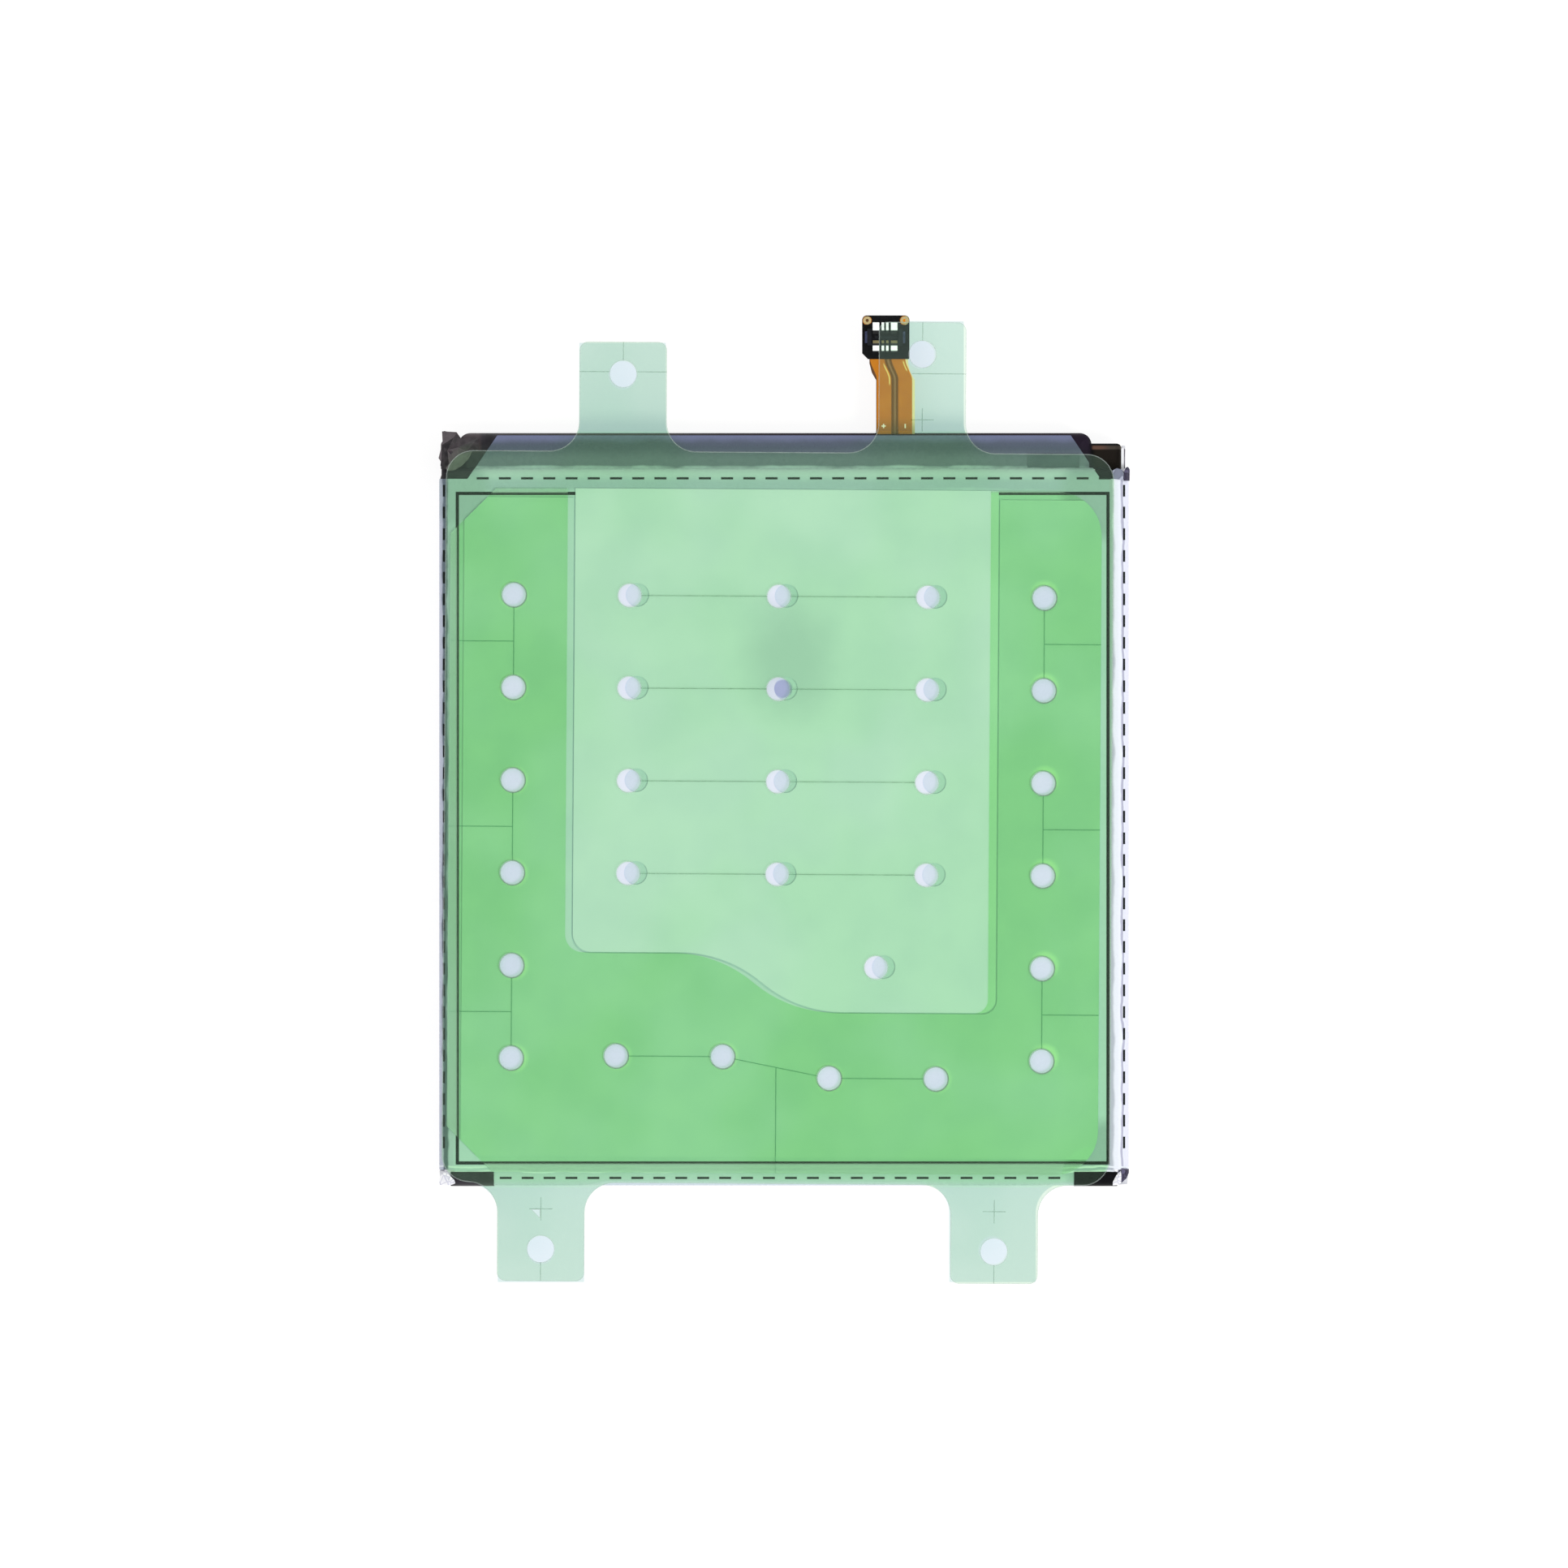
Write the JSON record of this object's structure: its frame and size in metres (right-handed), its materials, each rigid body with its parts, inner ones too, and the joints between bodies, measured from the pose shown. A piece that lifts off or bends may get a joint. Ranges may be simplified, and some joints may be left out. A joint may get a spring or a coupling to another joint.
{
  "type": "mobile phone battery",
  "caption": "Flat lithium polymer phone battery with a flex tail and connector, wrapped in printed film, with green release liners and pull tabs on its face.",
  "frame": {"origin": "centre of the wrapped cell on its back face, which lies on the table", "axes": "+X to the right as seen on the face with the liners, +Y towards the terrace and the flex tail, +Z out of the face"},
  "size_m": [0.0654, 0.0918, 0.0052],
  "materials": {
    "pouch_laminate": "drawn aluminium and nylon laminate, satin",
    "lead_aluminium": "rolled",
    "lead_nickel": "nickel plated",
    "sealant_film": "heat sealed",
    "insulating_paper": "pressed paper, matt",
    "solder_mask": "solder mask on glass resin board",
    "chip_resin": "moulded resin",
    "chip_ceramic": "fired ceramic with tinned ends",
    "black_tape": "acetate cloth and film tape, satin",
    "milky_film": "milky printed film",
    "printing_ink": "printed",
    "white_adhesive": "white double sided tape",
    "clear_adhesive": "clear double sided tape",
    "green_liner": "green tinted release film, die cut",
    "polyimide": "amber polyimide film",
    "covered_copper": "copper under amber cover film",
    "black_cover": "black cover film",
    "stiffener_plate": "rolled steel plate",
    "gilded_copper": "gold plated",
    "liquid_crystal_polymer": "injection moulded",
    "contact_alloy": "formed, gold plated with tinned tails",
    "clip_steel": "formed, tinned"
  },
  "bodies": {
    "root": {"pouch_cell": "pouch_laminate", "positive_lead": "lead_aluminium", "negative_lead": "lead_nickel", "positive_sealant": "sealant_film", "negative_sealant": "sealant_film", "positive_weld_plate": "lead_nickel", "negative_weld_plate": "lead_nickel", "board_insulator": "insulating_paper", "protection_board": "solder_mask", "mosfets": "chip_resin", "protection_ic": "chip_resin", "chip_components": "chip_ceramic", "terrace_tape": "black_tape", "insulating_patch": "black_tape", "bottom_left_tape": "black_tape", "bottom_right_tape": "black_tape", "label_wrap": "milky_film", "frame_print": "printing_ink", "fold_marks": "printing_ink", "adhesive_patch": "white_adhesive", "adhesive_sheet": "clear_adhesive", "inner_liner": "green_liner", "release_liner": "green_liner", "flex_tail": "polyimide", "flex_lanes": "covered_copper", "head_cover": "black_cover", "head_stiffener": "stiffener_plate", "ring_pads": "gilded_copper", "connector_housing": "liquid_crystal_polymer", "power_contacts": "contact_alloy", "signal_contacts": "contact_alloy", "hold_downs": "clip_steel"}
  },
  "joints": []
}
